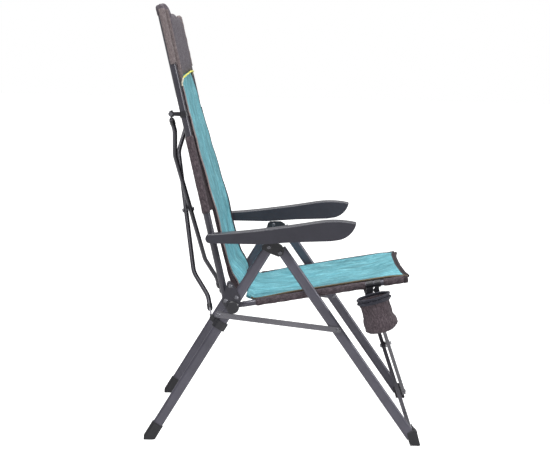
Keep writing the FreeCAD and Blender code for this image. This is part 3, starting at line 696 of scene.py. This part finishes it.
def flap(inner, outer, y_in, y_out, mat):
    """A strip between two profiles, such as a pad's rim and its tube, with a slack crease along it."""
    n = 60
    a = smooth_line(inner, n)
    b = smooth_line(outer, n)
    grid = []
    for i in range(n):
        row = []
        for j in range(9):
            t = j / 8.0
            p = a[i].lerp(b[i], t)
            y = y_in + (y_out - y_in) * t
            w = 1.3 * math.sin(math.pi * t) * fbm(Vector((p.x, y, p.y)), 40.0)
            row.append(at(p.x + w, y, p.y + w * 0.4))
        grid.append(row)
    uvs = [(j * 0.004, i * 0.008) for i in range(n) for j in range(9)]
    return shell("f", grid, 0.0014, mat, uvs)


def flaps():
    """Brown flaps that carry the pads on the tubes, and gussets at the back pad's lower corners."""
    both = []
    places = (446.0, 390.0, 330.0, 285.0, 246.0)
    for _, s in SIDES:
        inner = [on_back(d, f) for d, f in zip(places, (9.0, 11.0, 13.5, 17.0, 20.0))]
        outer = [on_back(d, f) for d, f in zip(places, (9.8, 10.2, 10.4, 10.6, 10.4))]
        both.append(flap(inner, outer, s * (PAD_HALF - 1.5), s * (TUBE_Y - 3.5), dark_brown))
    ob = join("back_flaps", both)
    crumples(ob, "back_right")
    both = []
    for _, s in SIDES:
        inner, outer = ([on_seat(d, up) for d in (64.0, 140.0, 240.0, 340.0, 468.0)] for up in (7.0, 8.6))
        both.append(flap(inner, outer, s * (PAD_HALF - 1.5), s * (TUBE_Y - 2.5), dark_brown))
    ob = join("seat_flaps", both)
    crumples(ob, "seat_right")
    both = []
    for _, s in SIDES:
        inner = [(-160.0, 505.0), (-150.0, 470.0), (-136.0, 441.0), (-119.0, 412.0)]
        outer = [(-163.5, 505.0), (-159.0, 468.0), (-149.0, 437.0), (-132.0, 404.0)]
        both.append(flap(inner, outer, s * (PAD_HALF + 1.2), s * (PAD_HALF + 2.4), brown))
    ob = join("back_corners", both)
    crumples(ob, "back_right")


# ---------------------------------------------------------------- sleeves and pockets on the tubes

def sleeve(name, node, body, start, end, radius, wrinkles):
    """Fabric wrapped round a straight tube: hemmed ends, a seam along it and small ring creases."""
    step = 0.0035
    n = max(int((end - start).length / step), 12)
    pts = [start.lerp(end, i / (n - 1)) for i in range(n)]
    seam_at = 0.9
    y = start.y * 1000.0 - MID_Y

    def bump_out(i, ang):
        p = pts[i]
        t = i / (n - 1)
        hem = 0.0007 * (math.exp(-((t - 0.03) / 0.018) ** 2) + math.exp(-((t - 0.97) / 0.018) ** 2))
        dents = noise.noise(Vector((p.x * 60 + ang, p.z * 90, y * 0.01))) * 0.0009
        rings = math.sin(i * 0.62 + 2.2 * noise.noise(Vector((p.z * 20, ang, y)))) * 0.00025
        seam = 0.0009 * math.exp(-((ang - seam_at) / 0.16) ** 2)
        edge = -0.0008 if i in (0, n - 1) else 0.0
        return radius / 1000.0 + hem + (dents + rings) * wrinkles + seam + edge

    ob = tube(name, pts, bump_out, brown, 32)
    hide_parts(node)
    rides(ob, body)


def sleeves():
    for side, s in SIDES:
        y = s * TUBE_Y
        sleeve("back_wrap_" + side, "back_sleeve_" + side, "back_" + side,
               back_point(241.0, y), back_point(453.0, y), 11.2, 0.5)
        sleeve("seat_wrap_" + side, "seat_sleeve_" + side, "seat_" + side,
               seat_point(62.0, y), seat_point(CLAMP_ALONG - 10.0, y), 9.9, 0.8)
        start, tip = seat_point(CLAMP_ALONG + 40.0, y), seat_point(SEAT_TUBE_END, y)
        ob = tube("seat_wrap_tip_" + side, [start.lerp(tip, i / 19.0) for i in range(20)],
                  lambda i, ang: 0.0101 + 0.0004 * math.sin(i * 0.8 + ang), brown, 28)
        rides(ob, "seat_" + side)
        way = (tip - start).normalized()
        ob = tube("seat_tip_" + side, [tip + way * d for d in (-0.010, -0.004, 0.0, 0.0014)],
                  lambda i, ang: (0.0104, 0.0106, 0.0098, 0.0064)[i], dark_brown, 28)
        rides(ob, "seat_" + side)


def head_pockets():
    """Pockets of the headrest on the back tubes, open at the rear so that the tube shows behind them."""
    n = 46
    low, length = 650.0, 156.0
    half_turn = math.radians(112)
    closing = 0.96
    for side, s in SIDES:
        y = s * TUBE_Y
        grid, uvs = [], []
        for i in range(n):
            t = i / (n - 1)
            along = low + t * length
            shrink = 1.0 if t < closing else 0.55 + 0.45 * (1 - (t - closing) / 0.04)
            row = []
            for k in range(25):
                ang = half_turn * (k / 12.0 - 1)
                slack = 0.7 * fbm((i * 7.0, k * 6.0, s * 30.0), 20.0, 2)
                r = (11.3 + slack + 0.3 * math.sin(i * 0.5 + k * 0.2)) * shrink
                row.append(back_point(along, y + math.sin(ang) * r * shrink, math.cos(ang) * r))
                uvs.append((ang * 0.012, along / 1000.0))
            grid.append(row)
        ob = shell("head_pocket_" + side, grid, 0.0016, pale_heather, uvs)
        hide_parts("head_sleeve_" + side)
        rides(ob, "back_" + side)
        # The right tube's covered end stands a little higher than the left one's.
        ends = (784.0, 797.0 - 3 * s, 802.0 - 4 * s, 805.5 - 4 * s, 807.5 - 4 * s)
        ob = tube("tube_end_" + side, [back_point(d, y) for d in ends],
                  lambda i, ang: (0.0108, 0.0114, 0.0110, 0.0092, 0.0050)[i], heather, 24)
        rides(ob, "back_" + side)


# ---------------------------------------------------------------- headrest

def head_pad():
    """A soft pad across the top. Its hem climbs from right to left, its top dips and its face bulges."""
    n_y = 73
    m = 44
    verts, uvs, faces, hem = [], [], [], []
    for i in range(n_y):
        u = -1 + 2 * i / (n_y - 1)
        y = u * HEAD_HALF
        end = 0.93 + 0.07 * (1 - abs(u) ** 12)
        low = 609.0 + 24.0 * (1 - ((1 - u) / 2) ** 1.7)
        high = 806.5 - 5.0 * u - 8.0 * (1 - abs(u) ** 5) + 1.4 * math.sin(8 * u + 0.6) * (1 - abs(u) ** 4)
        high -= 5.0 * math.exp(-((u + 0.5) / 0.3) ** 2)
        near = ramp(-u, 0.7, 1.0)
        front = 19.0 - 7.0 * ramp(u, -0.5, 1.0) + 1.5 * (1 - u * u)
        for k in range(m):
            a = 2 * math.pi * k / m
            t = 0.5 + 0.5 * math.copysign(abs(math.sin(a)) ** 0.36, math.sin(a))
            face = math.copysign(abs(math.cos(a)) ** 0.46, math.cos(a))
            near_top = near * ramp(t, 0.45, 1.0)
            along = low + (high - low) * t + 3.0 * near_top
            swell = 1 - 0.06 * max(1 - 2 * t, 0) ** 3 - 0.16 * max(2 * t - 1, 0) ** 6
            q = Vector((along, y, 0.0))
            soft = 1.6 * fbm(q, 55.0) + 0.8 * fbm(q + Vector((50, 0, 0)), 20.0, 2)
            if face > 0:
                f = face * (front * swell * end + soft + 7.0 * near_top)
            else:
                f = 3.5 * face + 0.3 * soft
            verts.append(back_point(along, y, f))
            uvs.append((y / 1000.0, along / 1000.0))
        hem.append(back_point(low - 0.6, y, front * 0.93 * end))
    for i in range(n_y - 1):
        for k in range(m):
            a, b = i * m + k, i * m + (k + 1) % m
            faces.append((a, a + m, b + m, b))
    faces.append(tuple(range(m)))
    faces.append(tuple((n_y - 1) * m + k for k in range(m))[::-1])
    ob = new_mesh("head_pad", verts, faces, [heather], None, uvs)
    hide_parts("headrest")
    crumples(ob, "back_right")
    return hem


def head_piping(hem):
    crumples(tube("head_piping", even(hem, 130), 0.0026, lime, 10), "back_right")
    tails = []
    for s, higher, deeper in ((-1.0, 0.0, 0.0), (1.0, 20.0, 10.5)):
        pts = [back_point(d + higher, s * y, f - deeper) for d, f, y in
               ((609.0, 19.0, 257.5), (603.0, 16.5, 259.0), (597.0, 13.0, 259.5), (588.0, 11.5, 258.5))]
        tails.append(tube("t", even(pts, 14), 0.0022, cream, 8))
    crumples(join("head_piping_tails", tails), "back_right")


def head_gussets():
    """The sides of the headrest, which come to a point below it."""
    n = 40
    both = []
    for s, start, narrow, wider in ((-1.0, 586.0, 13.0, 6.5), (1.0, 612.0, 6.0, 4.0)):
        grid = []
        for i in range(n):
            t = i / (n - 1)
            along = start + (796.0 - start) * t
            wide = narrow + wider * ramp(t, 0.0, 0.16)
            row = []
            for j in range(7):
                k = j / 6.0
                f = wide - (5.0 + 13.0 * ramp(t, 0.0, 0.25)) * (1 - k)
                bow = 2.2 * math.sin(math.pi * k) * ramp(t, 0, 0.2) + 0.8 * fbm((along, f, s * 50), 30.0, 2)
                row.append(back_point(along, s * (HEM_Y + bow), f))
            grid.append(row)
        uvs = [(j * 0.003, i * 0.0053) for i in range(n) for j in range(7)]
        both.append(shell("g", grid, 0.0015, pale_heather, uvs))
    ob = join("head_gussets", both)
    crumples(ob, "back_right")


# ---------------------------------------------------------------- cup holder

CUP = (237.0, -330.0, 412.0)
CUP_TILT = math.radians(16.0)
CUP_STEPS = 72


def in_cup(r, ang, depth):
    """A point so far from the cup's axis, at an angle round it, and so far below its rim."""
    c, s = math.cos(CUP_TILT), math.sin(CUP_TILT)
    x, y = r * math.cos(ang), r * math.sin(ang)
    return at(CUP[0] + x * c + depth * s, CUP[1] + y, CUP[2] + x * s - depth * c)


def cup_shell(name, levels, mat):
    """Creased cloth through rings, each given by its depth, radius, roughness and skew."""
    grid, uvs = [], []
    for depth, r, rough, skew in levels:
        row = []
        for k in range(CUP_STEPS + 1):
            ang = 2 * math.pi * k / CUP_STEPS
            c, s = math.cos(ang), math.sin(ang)
            q = Vector((c * 42, s * 42, depth))
            crease = abs(fbm(q + Vector((0, 0, 40)), 30.0))
            fine = abs(fbm(q + Vector((9, 5, 2)), 15.0, 2))
            dent = rough * (2.6 * fbm(q, 26.0) - 3.2 * crease - 1.5 * fine)
            toe = ramp(depth, 55.0, 82.0) * max(c, 0.0) ** 3 * (1 - 0.4 * s * s)
            row.append(in_cup(r + dent + 6.0 * toe, ang, depth + skew * c - 7.0 * toe))
            uvs.append((ang * 0.042, depth / 1000.0))
        grid.append(row)
    return shell(name, grid, 0.0016, mat, uvs)


def cup_ring(name, r, depth, radius, sides):
    """A cord round the cup; depth is a function of the angle."""
    angles = [2 * math.pi * k / CUP_STEPS for k in range(CUP_STEPS)]
    return tube(name, [in_cup(r, a, depth(a)) for a in angles], radius, band_black, sides, True)


def cup_holder():
    levels = []
    for i in range(34):
        t = i / 33.0
        r = 41.5 - 1.6 * math.sin(math.pi * min(t * 1.6, 1.0)) + 1.6 * ramp(t, 0.55, 0.9)
        levels.append((5.0 + 88.0 * t, r - 5.5 * ramp(t, 0.94, 1.0), ramp(t, 0.02, 0.2), ramp(t, 0.5, 1.0)))
    for r in (30.0, 18.0, 7.0, 0.5):
        levels.append((94.5, r, 0.25 if r > 10 else 0.0, r / 40.0))
    pocket = cup_shell("cup_pocket", levels, brown)
    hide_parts("cup_pouch")
    hem = [(0.0, 41.6, 0.05, 0.0), (3.0, 42.4, 0.1, 0.0), (6.5, 42.9, 0.15, 0.0), (10.0, 43.2, 0.15, 0.0),
           (14.5, 42.7, 0.2, 0.0)]
    rim = join("cup_rim", [
        cup_ring("r1", 43.4, lambda a: 0.0, lambda i, ang: 0.0031 + 0.0004 * math.sin(i * 0.7), 14),
        cup_ring("r2", 44.2, lambda a: 9.5 + math.sin(2 * a),
                 lambda i, ang: 0.0030 + 0.0005 * math.sin(i * 0.9 + ang), 12),
        cup_shell("r3", hem, band_black)])
    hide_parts("cup_ring")
    for ob in (pocket, rim):
        rides(ob, "seat_right")
        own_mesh(ob)


# ---------------------------------------------------------------- studio

def floor():
    """A pale disc, lit up for the camera so that it meets the white background."""
    radii = [0.6, 1.2, 2.0, 3.0, 5.0, 8.0, 14.0, 30.0, 70.0]
    seg = 64
    verts = [(0, 0, 0)]
    for r in radii:
        for k in range(seg):
            a = 2 * math.pi * k / seg
            verts.append((r * math.cos(a), r * math.sin(a), 0))
    faces = [(0, 1 + k, 1 + (k + 1) % seg) for k in range(seg)]
    for i in range(len(radii) - 1):
        for k in range(seg):
            a, b = 1 + i * seg + k, 1 + i * seg + (k + 1) % seg
            faces.append((a, a + seg, b + seg, b))
    me = bpy.data.meshes.new("floor")
    me.from_pydata(verts, [], faces)
    ob = bpy.data.objects.new("floor", me)
    bpy.context.scene.collection.objects.link(ob)
    mat, tree, shader = base_material("pale_floor", (0.80, 0.80, 0.80), 0.9, 0.0, 0.1)
    me.materials.append(mat)
    shader.inputs["Emission Color"].default_value = (1, 1, 1, 1)
    ray = tree.nodes.new("ShaderNodeLightPath")
    glow = math_node(tree, "MULTIPLY", ray.outputs["Is Camera Ray"], 0.85)
    tree.links.new(glow, shader.inputs["Emission Strength"])


def room():
    """White behind the object, and a grey room, lighter above, in its light and reflections."""
    world = bpy.data.worlds.new("studio")
    bpy.context.scene.world = world
    world.use_nodes = True
    tree = world.node_tree
    white = tree.nodes["Background"]
    white.inputs["Color"].default_value = (1.0, 1.0, 1.0, 1.0)
    white.inputs["Strength"].default_value = 1.0
    grey = tree.nodes.new("ShaderNodeBackground")
    split = tree.nodes.new("ShaderNodeSeparateXYZ")
    tree.links.new(coords(tree, "Generated"), split.inputs[0])
    height = range_node(tree, split.outputs["Z"], (0.0, 1.0), (-0.35, 0.85))
    shades = [(0.0, (0.12, 0.12, 0.13)), (0.35, (0.27, 0.27, 0.28)), (0.75, (0.50, 0.50, 0.50)),
              (1.0, (0.9, 0.9, 0.9))]
    tree.links.new(ramp_node(tree, height, shades), grey.inputs["Color"])
    grey.inputs["Strength"].default_value = 1.0
    ray = tree.nodes.new("ShaderNodeLightPath")
    pick = tree.nodes.new("ShaderNodeMixShader")
    tree.links.new(ray.outputs["Is Camera Ray"], pick.inputs[0])
    tree.links.new(grey.outputs[0], pick.inputs[1])
    tree.links.new(white.outputs[0], pick.inputs[2])
    tree.links.new(pick.outputs[0], tree.nodes["World Output"].inputs["Surface"])


def area_light(name, where, target, size, power, size_y=None):
    light = bpy.data.lights.new(name, "AREA")
    light.energy = power
    light.size = size
    if size_y:
        light.shape = "RECTANGLE"
        light.size_y = size_y
    ob = bpy.data.objects.new(name, light)
    bpy.context.scene.collection.objects.link(ob)
    ob.location = where
    ob.rotation_euler = (Vector(target) - Vector(where)).to_track_quat("-Z", "Y").to_euler()


def lights():
    """A key from the right, a front light, and a strip above each armrest for its highlight."""
    area_light("key", (-0.9, -1.9, 3.0), (0.0, 0.0, 0.5), 1.1, 44.0)
    area_light("strip_right", (0.0, -0.31, 2.7), (0.0, -0.31, 0.5), 2.0, 12.0, 0.26)
    area_light("strip_left", (0.0, 0.29, 2.7), (0.0, 0.29, 0.5), 2.0, 10.0, 0.26)
    area_light("front", (2.9, -1.2, 1.7), (0.0, 0.0, 0.6), 1.0, 30.0)


def camera():
    """Level with the chair's upper half, almost square to its right side."""
    lens = bpy.data.cameras.new("camera")
    lens.sensor_width = 36.0
    lens.lens = 91.64
    ob = bpy.data.objects.new("camera", lens)
    bpy.context.scene.collection.objects.link(ob)
    yaw, pitch, roll = -0.01737988, 0.10298027, -0.01893511
    ahead = Vector((math.sin(yaw) * math.cos(pitch), math.cos(yaw) * math.cos(pitch), -math.sin(pitch)))
    level = Vector((math.cos(yaw), -math.sin(yaw), 0.0))
    down = ahead.cross(level)
    right = level * math.cos(roll) + down * math.sin(roll)
    up = level * math.sin(roll) - down * math.cos(roll)
    place = Vector((0.0356, -4.0310 + MID_Y / 1000.0, 0.98143))
    ob.matrix_world = Matrix.Translation(place) @ Matrix((right, up, -ahead)).transposed().to_4x4()
    bpy.context.scene.camera = ob


finish_frame()
back_rows = back_panel()
seat_rows = seat_panel()
piping(back_rows, seat_rows)
sewing(back_rows, "back")
sewing(seat_rows, "seat")
flaps()
sleeves()
head_pockets()
head_piping(head_pad())
head_gussets()
cup_holder()
floor()
room()
lights()
camera()
bpy.context.scene.view_settings.view_transform = "Standard"
